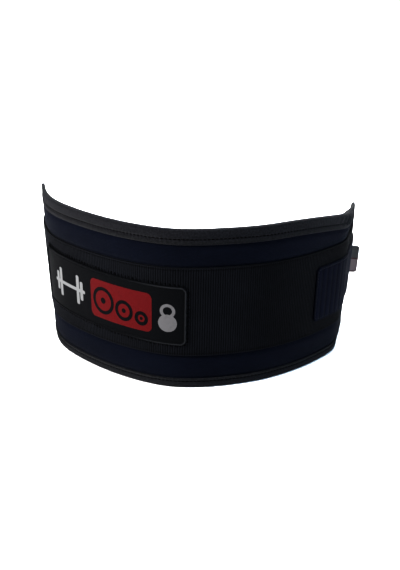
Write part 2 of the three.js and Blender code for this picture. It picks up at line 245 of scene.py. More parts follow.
def top_edge(along):
    share = share_of(along)
    left_band = blend(UPPER_BAND_MIDDLE, UPPER_BAND_LEFT, share**2)
    right_band = blend(UPPER_BAND_MIDDLE, UPPER_BAND_RIGHT, smooth(RIGHT_FALL_START, 1, share))
    return WEB_TOP + np.where(share < 0, left_band, right_band) + TOP_TAPE_WIDTH


def top_slope(along):
    return (top_edge(along + LINE_STEP) - top_edge(along - LINE_STEP)) / (2 * LINE_STEP)


def corner_cut(distance, radius):
    """How much a round corner takes off the height at a distance from the end."""
    reach = np.clip(radius - distance, 0, radius)
    return radius - np.sqrt(radius**2 - reach**2)


def round_edge(distance, radius):
    """How far a rounded edge falls back at a distance in from it."""
    reach = np.clip(1 - distance / radius, 0, 1)
    return radius * (1 - np.sqrt(1 - reach**2))


def web_outer(along):
    return WEB_INNER_DEPTH - WEB_THICKNESS - WEB_LIFT * (1 - smooth(RAMP_START, RAMP_END, along))


def top_corner(side):
    """Centre of a rounded upper corner and the angle at which its arc meets the upper edge."""
    centre_along = side * ((PANEL_LEFT if side < 0 else PANEL_RIGHT) - CORNER_RADIUS)
    join_angle = math.pi / 2 + math.atan(top_slope(centre_along))
    join_along = centre_along + CORNER_RADIUS * math.cos(join_angle)
    return centre_along, float(top_edge(join_along)) - CORNER_RADIUS * math.sin(join_angle), join_angle


def wobble(along, height, along_scale, height_scale, seed=0.0):
    """A gentle uneven swell between -1 and 1."""
    waves = (
        np.sin(along / along_scale + 1.3 * seed) * np.cos(height / height_scale + seed)
        + np.sin(along / (along_scale * 0.57) + 2.1 + seed) * np.sin(height / (height_scale * 0.71) + 0.7)
    )
    return waves / 2


# Mesh building
def add_object(name, data):
    made = bpy.data.objects.new(name, data)
    bpy.context.scene.collection.objects.link(made)
    return made


def make_piece(name, flat, faces, materials, face_materials=None, sharp_degrees=40, flip=False):
    mesh = bpy.data.meshes.new(name)
    if flip:
        faces = [face[::-1] for face in faces]
    mesh.from_pydata(place(flat).tolist(), [], faces)
    layout = mesh.attributes.new("flat", "FLOAT_VECTOR", "POINT")
    layout.data.foreach_set("vector", flat.astype(np.float32).ravel())
    for material in materials:
        mesh.materials.append(material)
    if face_materials is not None:
        mesh.polygons.foreach_set("material_index", np.asarray(face_materials, np.int32))
    mesh.shade_smooth()
    mesh.set_sharp_from_angle(angle=math.radians(sharp_degrees))
    piece = add_object(name, mesh)
    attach(piece, body)
    return piece


def number_grid(columns, rows, start=0):
    """Numbers of vertices that are stored column by column."""
    return start + np.arange(columns * rows).reshape(columns, rows)


def grid_faces(grid, flip=False):
    """Quads between the vertices of a grid of numbers."""
    quads = np.stack([grid[:-1, :-1], grid[1:, :-1], grid[1:, 1:], grid[:-1, 1:]], -1).reshape(-1, 4)
    return (quads[:, ::-1] if flip else quads).tolist()


def closed_faces(columns, rows):
    """Quads of a grid that closes on itself both ways."""
    return grid_faces(np.pad(number_grid(columns, rows), (0, 1), mode="wrap"))


def slab(stations, outer_rows, inner_rows, outer_depth, inner_depth):
    """Flat points and faces of a closed solid between an outer and an inner face.

    Rows are heights, one line of them for each station.
    """
    parts = [
        np.stack(np.broadcast_arrays(stations[:, None], rows, depth), -1).reshape(-1, 3)
        for rows, depth in ((outer_rows, outer_depth), (inner_rows, inner_depth))
    ]
    outer = number_grid(*outer_rows.shape)
    inner = number_grid(*inner_rows.shape, start=outer.size)
    faces = grid_faces(outer) + grid_faces(inner, flip=True)
    faces += grid_faces(np.stack([outer[:, 0], inner[:, 0]]))
    faces += grid_faces(np.stack([outer[:, -1], inner[:, -1]], axis=1))
    faces += [np.append(outer[0], inner[0, ::-1]).tolist(), np.append(inner[-1], outer[-1, ::-1]).tolist()]
    return np.vstack(parts), faces


def stations_over(start, end, step):
    return np.linspace(start, end, max(2, round((end - start) / step) + 1))


def rounded_stations(start, end, step, start_radius, end_radius, corner_steps=10):
    """Stations that crowd towards rounded ends, so that the corners come out round."""
    turn = 1 - np.sin(np.linspace(math.pi / 2, 0, corner_steps + 1))
    parts = [stations_over(start + start_radius, end - end_radius, step)]
    if start_radius:
        parts.insert(0, start + start_radius * turn[:-1])
    if end_radius:
        parts.append(end - end_radius * turn[:-1][::-1])
    return np.concatenate(parts)


# A stitch's rings: their places in shares of its half length, and their girths and lifts in radii
THREAD_PLACES = np.array([-1, -0.72, 0, 0.72, 1])
THREAD_GIRTHS = np.array([0.25, 0.85, 1, 0.85, 0.25])
THREAD_LIFTS = np.array([-0.45, 0.1, 0.35, 0.1, -0.45])
THREAD_SIDES = 6


def add_stitches(name, centres, directions, length, radius, material, outward=1.0):
    """Short threads on the cloth, from the middles of their undersides and their flat directions."""
    along_thread = THREAD_PLACES * length / 2
    swell = THREAD_GIRTHS
    lift = THREAD_LIFTS * radius
    turns = np.linspace(0, 2 * math.pi, THREAD_SIDES + 1)[:-1]
    sides = np.column_stack([-directions[:, 1], directions[:, 0]])
    middle = centres[:, None, None, :2] + directions[:, None, None] * along_thread[:, None, None]
    ring = sides[:, None, None] * (radius * swell[:, None] * np.cos(turns))[..., None]
    depth = centres[:, 2, None, None] - outward * (lift[:, None] + radius * swell[:, None] * np.sin(turns))
    flat = np.concatenate([middle + ring, np.broadcast_to(depth, ring.shape[:3])[..., None]], -1)
    rings, points = len(along_thread), len(turns)
    size = rings * points
    one = grid_faces(np.pad(number_grid(rings, points), ((0, 0), (0, 1)), mode="wrap"))
    caps = [[*range(points)], [*reversed(range(size - points, size))]]
    faces = [[n * size + v for v in face] for n in range(len(centres)) for face in one + caps]
    return make_piece(name, flat.reshape(-1, 3), faces, [material], sharp_degrees=80, flip=outward > 0)


# Materials
class Look:
    """A node material whose patterns follow the flat layout of the cloth, in millimetres."""

    def __init__(self, name, roughness, specular, sheen=0.0, sheen_roughness=0.5):
        self.material = bpy.data.materials.new(name)
        self.material.use_nodes = True
        self.tree = self.material.node_tree
        self.shader = self.tree.nodes["Principled BSDF"]
        self.feed(self.shader, {
            "Roughness": roughness, "Specular IOR Level": specular,
            "Sheen Weight": sheen, "Sheen Roughness": sheen_roughness,
        })
        self.layout = self.node("ShaderNodeAttribute", attribute_name="flat").outputs["Vector"]
        self.along, self.height, self.depth = self.node("ShaderNodeSeparateXYZ", {0: self.layout}).outputs

    def feed(self, node, values):
        """Links a node's inputs to other sockets, or sets them to constants."""
        for key, value in values.items():
            socket = node.inputs[key]
            if isinstance(value, bpy.types.NodeSocket):
                self.tree.links.new(value, socket)
            else:
                socket.default_value = (*value, 1) if socket.type == "RGBA" else value

    def node(self, kind, values=None, **settings):
        made = self.tree.nodes.new(kind)
        for key, value in settings.items():
            setattr(made, key, value)
        self.feed(made, values or {})
        return made

    def math(self, operation, *values, clamp=False):
        made = self.node("ShaderNodeMath", dict(enumerate(values)), operation=operation, use_clamp=clamp)
        return made.outputs[0]

    def times(self, first, second):
        return self.math("MULTIPLY", first, second)

    def scaled(self, value, scale, offset, clamp=False):
        return self.math("MULTIPLY_ADD", value, scale, offset, clamp=clamp)

    def wave(self, place_socket, pitch):
        """A sine from 0 to 1 over the layout."""
        return self.scaled(self.math("SINE", self.times(place_socket, 2 * math.pi / pitch)), 0.5, 0.5)

    def noise(self, size, detail=2.0, stretch=(1, 1, 1)):
        """Uneven patches of about a given size in millimetres, from 0 to 1."""
        place_socket = self.node("ShaderNodeMapping", {"Vector": self.layout, "Scale": stretch}).outputs[0]
        values = {"Vector": place_socket, "Scale": 1 / size, "Detail": detail}
        return self.node("ShaderNodeTexNoise", values).outputs["Fac"]

    def step(self, value, start, end):
        """From 0 to 1 as a value goes from start to end."""
        values = {"Value": value, "From Min": start, "From Max": end}
        return self.node("ShaderNodeMapRange", values, interpolation_type="SMOOTHSTEP").outputs["Result"]

    def mix(self, factor, first, second):
        return self.node("ShaderNodeMix", {0: factor, 6: first, 7: second}, data_type="RGBA").outputs[2]

    def colour(self, factor, first, second):
        self.feed(self.shader, {"Base Color": self.mix(factor, first, second)})

    def bump(self, height, distance_mm):
        made = self.node("ShaderNodeBump", {"Strength": 1.0, "Distance": distance_mm * MM, "Height": height})
        self.feed(self.shader, {"Normal": made.outputs["Normal"]})

    def plain_weave(self, pitch_along, pitch_up):
        """Threads going over and under each other, from 0 to 1."""
        return self.times(self.wave(self.along, pitch_along), self.wave(self.height, pitch_up))

    def twill(self, pitch, slope=1.0):
        """Slanting ridges of a twill, from 0 to 1."""
        return self.wave(self.scaled(self.height, slope, self.along), pitch)


NAVY = (0.0011, 0.0016, 0.0038)
NAVY_LIT = (0.0033, 0.0046, 0.0100)
LINING = (0.0030, 0.0032, 0.0042)
LINING_LIT = (0.0080, 0.0082, 0.0100)
TAPE = (0.0020, 0.0021, 0.0028)
TAPE_LIT = (0.0106, 0.0108, 0.0132)
HEM = (0.0022, 0.0023, 0.0028)
HEM_LIT = (0.0100, 0.0102, 0.0118)
# The webbing's dark tone is painted shade in its rib valleys, and its lit tone is a painted highlight on the
# crests
WEB = (0.0002, 0.0003, 0.0006)
WEB_LIT = (0.0078, 0.0086, 0.0120)
BADGE = (0.0011, 0.0013, 0.0018)
BADGE_LIT = (0.0024, 0.0027, 0.0034)
# Colour of the painted highlight on the badge's border
BADGE_CORD_HIGHLIGHT = (0.0170, 0.0176, 0.0195)
# The strap's dark tone is painted shade in its rib valleys, and its lit tone is a painted highlight on the
# crests
STRAP = (0.0003, 0.0007, 0.0028)
STRAP_LIT = (0.0008, 0.0029, 0.0140)
# The stitches' black is partly the thread's own colour and partly painted shade of the stitch holes, for
# which they are drawn wider than the thread
THREAD = (0.0002, 0.0002, 0.0003)
THREAD_LIT = (0.0008, 0.0008, 0.0011)
GREY_THREAD = (0.0110, 0.0120, 0.0170)
GREY_THREAD_LIT = (0.0280, 0.0300, 0.0380)
WHITE_INK = (0.125, 0.125, 0.126)
WHITE_INK_FADED = (0.085, 0.085, 0.087)
GREY_INK = (0.082, 0.079, 0.081)
GREY_INK_FADED = (0.056, 0.056, 0.058)
RED_INK = (0.062, 0.0038, 0.0046)
RED_INK_FADED = (0.040, 0.0032, 0.0038)
LABEL_DARK = (0.034, 0.037, 0.039)
LABEL_PALE = (0.132, 0.106, 0.112)
LABEL_LINE = (0.034, 0.008, 0.010)
LABEL_EDGE = (0.030, 0.009, 0.009)
LABEL_SPECK = (0.09, 0.075, 0.078)

# Painted light from the left: the tone is full up to the first of these places, and half as much beyond the
# second
LEFT_LIGHT_START = 5.0
LEFT_LIGHT_END = 55.0

# The badge's border takes a painted highlight over this stretch, from 60 to 4 mm before its right end
BADGE_HIGHLIGHT_START = BADGE_END - 60
BADGE_HIGHLIGHT_END = BADGE_END - 4

# A band's flat back turns from dark to lit this far behind the valleys of its ribs
BACK_START = 0.8
BACK_END = 1.0


def knit_look(name, dark, lit, pitch, sheen):
    look = Look(name, roughness=0.95, specular=0.02, sheen=sheen, sheen_roughness=0.45)
    loops = look.plain_weave(pitch, pitch * 1.25)
    fuzz = look.noise(pitch * 0.8, detail=3)
    mottle = look.noise(26, detail=3, stretch=(0.6, 1, 1))
    tone = look.scaled(loops, 0.35, look.times(mottle, 0.7), clamp=True)
    look.colour(tone, dark, lit)
    look.bump(look.scaled(fuzz, 0.8, loops), 0.16)
    return look.material


def tape_look(name, dark, lit):
    """Woven edge tape: a twill, a coarse grain and larger rubbed patches."""
    look = Look(name, roughness=0.88, specular=0.04, sheen=0.03)
    ridges = look.twill(1.1)
    grain = look.noise(1.5, detail=3)
    mottle = look.noise(18, detail=3, stretch=(0.35, 1, 1))
    tone = look.scaled(look.step(grain, 0.32, 0.68), 0.55, look.times(mottle, 0.3))
    tone = look.scaled(ridges, 0.25, tone, clamp=True)
    look.colour(tone, dark, lit)
    look.bump(look.scaled(grain, 1.4, ridges), 0.2)
    return look.material


def webbing_look(name, dark, lit, yarn_pitch, face_depth, valley, crest, lift_share, sheen=0.02):
    """Webbing whose ribs are in the mesh. The yarns over them and the painted light on them are in the nodes.

    The tone goes from painted shade at the valleys to a painted highlight at the crests. The share of the
    webbing's lift, which varies along it, keeps it in step with them. The flat back is lit too. Towards the
    left the tone is painted lighter, as by light from the left.
    """
    look = Look(name, roughness=0.78, specular=0.02, sheen=sheen)
    valley_depth = face_depth + valley
    level = look.scaled(lift_share(look), WEB_LIFT, look.depth)
    yarns = look.wave(look.height, yarn_pitch)
    fuzz = look.noise(0.5, detail=2)
    # Painted shade in the valleys of the ribs and a painted highlight on their crests
    front = look.step(level, valley_depth, face_depth - crest)
    back = look.step(level, valley_depth + BACK_START, valley_depth + BACK_END)
    mottle = look.noise(30, detail=3, stretch=(0.5, 1, 1))
    # Painted light from the left, halving the tone towards the right
    left_light = look.scaled(look.step(look.along, LEFT_LIGHT_END, LEFT_LIGHT_START), 0.5, 0.5)
    tone = look.math("MAXIMUM", front, back)
    tone = look.math("MULTIPLY", tone, look.scaled(mottle, 0.9, 0.2), clamp=True)
    tone = look.times(tone, look.scaled(yarns, 0.3, 0.7))
    look.colour(look.times(tone, left_light), dark, lit)
    look.bump(look.scaled(fuzz, 0.6, yarns), 0.10)
    return look.material


def badge_look():
    """Smooth printed face. The raised border takes a painted highlight towards the right end, patchy with
    noise.
    """
    border_depth = BADGE_FACE - BORDER_RISE
    look = Look("badge_face", roughness=0.7, specular=0.03)
    grain = look.noise(0.45, detail=2)
    smudge = look.noise(14, detail=4)
    # Painted highlight on the raised border, growing towards the right end
    rub_and_highlight = look.step(look.depth, border_depth, border_depth - BORDER_BLUR)
    rub_and_highlight = look.times(rub_and_highlight, look.step(look.along, BADGE_HIGHLIGHT_START, BADGE_HIGHLIGHT_END))
    face = look.mix(look.times(smudge, 0.8), BADGE, BADGE_LIT)
    patchy = look.scaled(look.noise(3, detail=3), 0.6, 0.4)
    look.colour(look.times(rub_and_highlight, patchy), face, BADGE_CORD_HIGHLIGHT)
    look.feed(look.shader, {"Roughness": look.scaled(smudge, 0.2, 0.62)})
    look.bump(look.math("ADD", grain, look.times(look.wave(look.height, 0.8), 0.4)), 0.05)
    return look.material


def ink_look(name, ink, faded):
    """Print on the badge, a little uneven where it is rubbed."""
    look = Look(name, roughness=0.62, specular=0.03)
    rub_and_highlight = look.step(look.noise(3.5, detail=5), 0.52, 0.8)
    look.colour(look.times(rub_and_highlight, 0.35), ink, faded)
    look.bump(look.noise(0.5, detail=2), 0.04)
    return look.material


def thread_look(name, dark, lit):
    look = Look(name, roughness=0.6, specular=0.02)
    ply = look.twill(0.45, slope=1.6)
    look.colour(look.times(ply, 0.8), dark, lit)
    look.bump(ply, 0.05)
    return look.material


# The label's weave in millimetres: the red line's reach below and above the change of colour at a
# share of the height, the red edge at the foot, and the blur of them all
LABEL_SPLIT = 0.52
LINE_BELOW = 0.8
LINE_ABOVE = 1.0
LABEL_EDGE_HEIGHT = 1.8
LABEL_BLUR = 0.3


def label_look(foot):
    """Woven ribbon, dark above and pale below, with a thin red line between them."""
    look = Look("label_ribbon", roughness=0.7, specular=0.25, sheen=0.1)
    split = foot + LABEL_HEIGHT * LABEL_SPLIT
    pale = look.step(look.height, split + LABEL_BLUR, split - LABEL_BLUR)
    above = look.step(look.height, split - LINE_BELOW, split - LINE_BELOW + LABEL_BLUR)
    below = look.step(look.height, split + LINE_ABOVE, split + LINE_ABOVE - LABEL_BLUR)
    edge = look.step(look.height, foot + LABEL_EDGE_HEIGHT, foot + LABEL_EDGE_HEIGHT - 2 * LABEL_BLUR)
    colour = look.mix(pale, LABEL_DARK, LABEL_PALE)
    colour = look.mix(look.times(above, below), colour, LABEL_LINE)
    colour = look.mix(edge, colour, LABEL_EDGE)
    weave = look.plain_weave(0.7, 0.55)
    speckle = look.scaled(look.noise(2.2, detail=3), 0.5, look.times(weave, 0.25))
    look.colour(look.times(speckle, 0.5), colour, LABEL_SPECK)
    look.bump(weave, 0.06)
    return look.material


navy_cloth = knit_look("navy_cloth", NAVY, NAVY_LIT, pitch=0.9, sheen=0.02)
lining_cloth = knit_look("lining_cloth", LINING, LINING_LIT, pitch=1.2, sheen=0.03)
edge_tape = tape_look("edge_tape", TAPE, TAPE_LIT)
hem_tape = tape_look("hem_tape", HEM, HEM_LIT)


def web_lift_share(look):
    return look.step(look.along, RAMP_END, RAMP_START)


def strap_lift_share(look):
    """From 0 at the panel's right end to 1 where the strap meets the webbing's tab."""
    return look.scaled(look.along, 1 / REAR_LENGTH, -PANEL_RIGHT / REAR_LENGTH, clamp=True)


ribbed_web = webbing_look(
    "ribbed_web", WEB, WEB_LIT, yarn_pitch=0.9,
    face_depth=-WEB_STAND_OUT, valley=0.1, crest=0.16, lift_share=web_lift_share,
)
# Dark thread: its own black, and also painted shade of the stitch holes
dark_thread = thread_look("dark_thread", THREAD, THREAD_LIT)
grey_thread = thread_look("grey_thread", GREY_THREAD, GREY_THREAD_LIT)


# Padded panel: full between its seams, pressed flat at them, with small puckers beside the stitching
PANEL_STEP = 1.6
PUCKER_PITCH = 6.8
PUCKER_RISE = 0.16
PUCKER_REACH = 2.6
PUCKER_DRIFT = 1.7
PUCKER_DRIFT_LENGTH = 23.0
FACE_SWELL = 0.16
LINING_GIVE = 0.35

# The padding rises steeply beside a seam and gently beyond it: start, end and share of each rise
PAD_RISES = ((0.4, 3.4, 0.8), (2.0, 9.0, 0.2))
BAND_SHARES = np.array([0, 0.05, 0.12, 0.22, 0.35, 0.5, 0.65, 0.78, 0.88, 0.95, 1])
INNER_SHARES = np.linspace(0, 1, 25)


def panel_foot(along):
    return PANEL_INSET + corner_cut(to_panel_end(along) - PANEL_INSET, CORNER_RADIUS - PANEL_INSET)


def panel_head(along):
    head = top_edge(along) - PANEL_INSET
    for side in (-1, 1):
        centre_along, centre_height, join_angle = top_corner(side)
        join_along = centre_along + CORNER_RADIUS * math.cos(join_angle)
        reach = np.clip(np.abs(along - centre_along), 0, CORNER_RADIUS - PANEL_INSET)
        rounded = centre_height + np.sqrt((CORNER_RADIUS - PANEL_INSET) ** 2 - reach**2)
        head = np.where(side * (along - join_along) > 0, rounded, head)
    return head


def from_tape(along, height, top_width, lower_width):
    """Distance in from the tape's inner edge."""
    from_end = to_panel_end(along) - CORNER_RADIUS
    return np.minimum(np.minimum(from_end, height - lower_width), top_edge(along) - top_width - height)


def pad_swell(distance):
    """How full the padding stands at a distance from its nearest seam, from 0 to 1."""
    return sum(share * smooth(start, end, distance) for start, end, share in PAD_RISES)


def puckers(along, distance, seed):
    """Small folds across a seam, at a slightly uneven pitch, from -1 to 1."""
    drift = PUCKER_DRIFT * np.sin(along / PUCKER_DRIFT_LENGTH + seed)
    fade = np.exp(-((np.clip(distance, 0, None) / PUCKER_REACH) ** 2))
    return np.cos(2 * math.pi * along / PUCKER_PITCH + drift) * fade


def make_panel():
    inset = CORNER_RADIUS - PANEL_INSET
    stations = rounded_stations(
        -PANEL_LEFT + PANEL_INSET, PANEL_RIGHT - PANEL_INSET, PANEL_STEP, inset, inset
    )
    along = stations[:, None]
    lower = blend(LOWER_TAPE_WIDTH + SEAM_GAP, WEB_FOOT - SEAM_GAP, BAND_SHARES)
    upper = blend(WEB_TOP + SEAM_GAP, top_edge(along) - TOP_TAPE_WIDTH - SEAM_GAP, BAND_SHARES)
    plain = np.hstack([
        np.full_like(along, PANEL_INSET),
        np.broadcast_to(lower, (len(stations), len(lower))),
        upper,
        top_edge(along) - PANEL_INSET,
    ])
    foot, head = panel_foot(along), panel_head(along)
    outer_rows = foot + (plain - PANEL_INSET) * (head - foot) / (plain[:, -1:] - PANEL_INSET)
    inner_rows = blend(foot, head, INNER_SHARES)

    tape_distance = from_tape(along, outer_rows, TOP_TAPE_WIDTH, LOWER_TAPE_WIDTH)
    web_distance = np.maximum(WEB_FOOT - outer_rows, outer_rows - WEB_TOP)
    nearest = np.minimum(tape_distance, web_distance)
    bed = np.where(tape_distance < 2 * SEAM_GAP, TAPED_DEPTH, WEB_INNER_DEPTH + SEAM_GAP)
    swell = PILLOW_RISE * pad_swell(nearest) * (1 + FACE_SWELL * wobble(along, outer_rows, 19, 11))
    pucker = PUCKER_RISE * puckers(along, nearest, seed=0.4) * smooth(0.4, 1.6, nearest)
    outer_depth = bed - swell - pucker

    lining_distance = from_tape(along, inner_rows, INNER_TAPE_WIDTH, INNER_TAPE_WIDTH)
    fullness = pad_swell(lining_distance)
    give = LINING_GIVE * wobble(along, inner_rows, 27, 18, seed=2.0)
    pinch = PUCKER_RISE * puckers(along, lining_distance, seed=1.9)
    lining_depth = thickness_at(along) - TAPED_DEPTH + fullness * (PILLOW_RISE + give) + pinch * fullness

    flat, faces = slab(stations, outer_rows, inner_rows, outer_depth, lining_depth)
    spans = len(stations) - 1
    lining_start = spans * (outer_rows.shape[1] - 1)
    face_materials = np.zeros(len(faces))
    face_materials[lining_start:][: spans * (inner_rows.shape[1] - 1)] = 1
    panel = make_piece("panel_cloth", flat, faces, [navy_cloth, lining_cloth], face_materials)
    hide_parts("body_panel")


make_panel()


# Edge tape
TAPE_STEP = 1.0
STITCH_PITCH = 3.4
STITCH_INSET = 0.9
STITCH_LENGTH = 2.4
STITCH_RADIUS = 0.6
STITCH_LIFT = 0.08
GROOVE_DEPTH = 0.55
GROOVE_REACH = 0.45
GROOVE_LIP = 0.05
INNER_SEAM = INNER_TAPE_WIDTH - 1.6
TAPE_PUCKER = 0.16
TAPE_PUCKER_REACH = 1.8
TAPE_SWAY = 0.11

# The hem shows its own tape where the edge faces up or down at least this much
HEM_FACING = 0.93


def edge_outline():
    """The panel's edge as along, height, outward angle and running length, foot first."""
    left_along, left_height, left_join = top_corner(-1)
    right_along, right_height, right_join = top_corner(1)
    arc_steps = round(CORNER_RADIUS * math.pi / 2 / TAPE_STEP)

    def arc(centre_along, centre_height, start, end):
        angle = np.linspace(start, end, arc_steps + 1)
        return np.column_stack([
            centre_along + CORNER_RADIUS * np.cos(angle), centre_height + CORNER_RADIUS * np.sin(angle), angle
        ])

    def run(alongs, heights, angles):
        return np.column_stack(np.broadcast_arrays(alongs, heights, angles))[1:-1]

    foot = stations_over(left_along, right_along, TAPE_STEP)
    top_start = right_along + CORNER_RADIUS * math.cos(right_join)
    top_end = left_along + CORNER_RADIUS * math.cos(left_join)
    top = stations_over(top_end, top_start, TAPE_STEP)[::-1]
    right_side = stations_over(CORNER_RADIUS, right_height, TAPE_STEP)
    left_side = stations_over(CORNER_RADIUS, left_height, TAPE_STEP)[::-1]
    line = np.vstack([
        run(foot, 0.0, -math.pi / 2),
        arc(right_along, CORNER_RADIUS, -math.pi / 2, 0),
        run(PANEL_RIGHT, right_side, 0.0),
        arc(right_along, right_height, 0, right_join),
        run(top, top_edge(top), math.pi / 2 + np.arctan(top_slope(top))),
        arc(left_along, left_height, left_join, math.pi),
        run(-PANEL_LEFT, left_side, math.pi),
        arc(left_along, CORNER_RADIUS, math.pi, 1.5 * math.pi),
    ])
    return np.column_stack([line, run_lengths(line[:, :2])])


def tape_widths(angle):
    """Width and hem width of the tape where the edge faces a given way."""
    upward = np.sin(angle)
    width = blend(END_TAPE_WIDTH, np.where(upward > 0, TOP_TAPE_WIDTH, LOWER_TAPE_WIDTH), upward**2)
    hem = np.where(upward > 0, TOP_HEM_WIDTH, LOWER_HEM_WIDTH)
    return width, hem, HEM_RISE * smooth(0.9, 1, np.abs(upward))


def seam_inward(angle):
    """Distance in from the edge at which the outer row of stitches lies."""
    width, hem, _ = tape_widths(angle)
    return width - hem - HEM_RISE - STITCH_INSET


def make_tape():
    line = edge_outline()
    along, height, angle, run = line.T
    width, hem, rise = tape_widths(angle)
    seam = seam_inward(angle)
    back = thickness_at(along)
    ones = np.ones_like(width)

    profile = []
    hem_points = []

    def add(inward, depth, in_hem=False):
        profile.append((inward * ones, depth * ones))
        hem_points.append(in_hem)

    # Round the tape's section, from its front edge over the hem, the groove and the crown to the back
    add(width, TAPE_THICKNESS)
    add(width, -rise * 0.2, in_hem=True)
    add(width - 0.3, -rise, in_hem=True)
    add(width - hem / 2, -rise * 1.1, in_hem=True)
    add(width - hem + 0.2, -rise, in_hem=True)
    add(width - hem - 0.1, -rise * 0.5, in_hem=True)
    add(width - hem - HEM_RISE, 0)
    add(seam + GROOVE_REACH, GROOVE_LIP)
    add(seam, GROOVE_DEPTH)
    add(seam - GROOVE_REACH, GROOVE_LIP)
    add(blend(seam, CROWN_ROUNDING, 0.35), -0.12)
    add(blend(seam, CROWN_ROUNDING, 0.7), -0.10)
    skin_points = len(profile)
    for turn in np.linspace(0, math.pi, 13):
        add(CROWN_ROUNDING * (1 - math.sin(turn) ** 0.62), back * (1 - math.cos(turn)) / 2)
    add(blend(CROWN_ROUNDING, INNER_SEAM, 0.5), back + 0.1)
    add(INNER_SEAM - GROOVE_REACH, back - GROOVE_LIP)
    add(INNER_SEAM, back - GROOVE_DEPTH)
    add(INNER_SEAM + GROOVE_REACH, back - GROOVE_LIP)
    add(INNER_TAPE_WIDTH - 0.2, back)
    add(INNER_TAPE_WIDTH, back - 0.2)
    add(INNER_TAPE_WIDTH, back - TAPE_THICKNESS)
    add(CROWN_THICKNESS, back - TAPE_THICKNESS)
    add(CROWN_THICKNESS, TAPE_THICKNESS)

    inward, depth = np.array(profile).swapaxes(0, 1)
    outer_skin = (np.arange(len(profile)) <= skin_points)[:, None]
    fade = np.exp(-((np.abs(inward - seam) / TAPE_PUCKER_REACH) ** 2))
    pucker = TAPE_PUCKER * np.cos(2 * math.pi * run / STITCH_PITCH) * fade
    sway = TAPE_SWAY * wobble(run, 0, 13, 1, seed=0.8) * smooth(0, 4, inward)
    depth = depth + (pucker - sway + crease(along, angle, inward)) * outer_skin
    flat = np.stack([along - np.cos(angle) * inward, height - np.sin(angle) * inward, depth], -1)
    faces = closed_faces(*depth.shape)
    hemmed = np.logical_and(hem_points, np.roll(hem_points, -1))
    face_materials = (hemmed[:, None] & (np.abs(np.sin(angle)) > HEM_FACING)).ravel()
    tape = make_piece(
        "edge_tape", flat.reshape(-1, 3), faces, [edge_tape, hem_tape], face_materials, sharp_degrees=50
    )
    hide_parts("edge_binding")


CREASE_ALONG = 153.0
CREASE_REACH = 17.0
CREASE_PITCH = 8.0
CREASE_RISE = 1.7
CREASE_SLANT = 0.7
CREASE_SINK = 0.1


def crease(along, angle, inward):
    """Short slanting wrinkles where the upper tape turns the bend at the right end."""
    near = np.exp(-(((along - CREASE_ALONG) / CREASE_REACH) ** 2))
    upper = smooth(0.6, 0.95, np.sin(angle))
    slanted = along + CREASE_SLANT * inward - CREASE_ALONG
    wave = np.maximum(np.cos(2 * math.pi * slanted / CREASE_PITCH), -CREASE_SINK)
    return -CREASE_RISE * near * upper * wave * smooth(0.5, 3, inward) * (1 - smooth(9, 11, inward))


def make_tape_stitches():
    line = edge_outline()
    run_ends = np.arange(STITCH_PITCH / 2, line[-1, 3], STITCH_PITCH)
    along, height, angle = values_at(run_ends, line[:, 3], line[:, :3]).T
    outward = facing(angle)
    directions = outward[:, ::-1] * [-1, 1]
    sunk = GROOVE_DEPTH - STITCH_LIFT
    for name, inward, depth, side in (
        ("tape_stitches_outer", seam_inward(angle), np.full_like(along, sunk), 1.0),
        ("tape_stitches_inner", np.full_like(along, INNER_SEAM), thickness_at(along) - sunk, -1.0),
    ):
        spots = np.column_stack([along, height]) - outward * inward[:, None]
        centres = np.column_stack([spots, depth])
        add_stitches(name, centres, directions, STITCH_LENGTH, STITCH_RADIUS, dark_thread, outward=side)


make_tape()
make_tape_stitches()


# Webbing band, with its ribs in the mesh
RIB_PITCH = 2.0
RIB_RISE = 0.34
SELVEDGE = 1.1
BAND_EDGE_RADIUS = 0.5
BAND_GROOVE_REACH = 0.5
BAND_STITCH_SINK = 0.1
WEB_SEAM_INSET = 1.9
WEB_GROOVE = 0.10
WEB_STITCH_PITCH = 3.0
EDGE_STEPS = np.array([0, 0.08, 0.25, 0.5, 0.8, 1.1, 1.5, 1.9, 2.3, 3.0])


def rib_profile(along, pitch, power=0.8):
    """Cross-section of the ribs: round crests with narrow valleys, from 0 to 1."""
    return np.abs(np.sin(math.pi * along / pitch)) ** power


def sewn_band(stations, foot, head, face_at, thickness, relief_at, seam_inset, groove_depth):
    """Flat points and faces of a band with a relief, rounded edges and a groove along its seam."""
    along = stations[:, None]
    rows = np.hstack([foot + EDGE_STEPS, blend(foot, head, 0.5), head - EDGE_STEPS[::-1]])
    to_end = np.minimum(along - stations[0], stations[-1] - along)
    from_edge = np.minimum(np.minimum(rows - foot, head - rows), to_end)
    inside = smooth(SELVEDGE - 1, SELVEDGE, from_edge)
    groove = groove_depth * np.exp(-(((from_edge - seam_inset) / BAND_GROOVE_REACH) ** 2))
    rounding = round_edge(from_edge, BAND_EDGE_RADIUS)
    outer_depth = face_at(along) + rounding - relief_at(along, inside) + groove
    return slab(stations, rows, np.hstack([foot, head]), outer_depth, face_at(along) + thickness)


def web_relief(along, inside):
    """Ribs that end at the level of their crests along the selvedge."""
    return RIB_RISE * (blend(1, rib_profile(along, RIB_PITCH), inside) - 0.5)


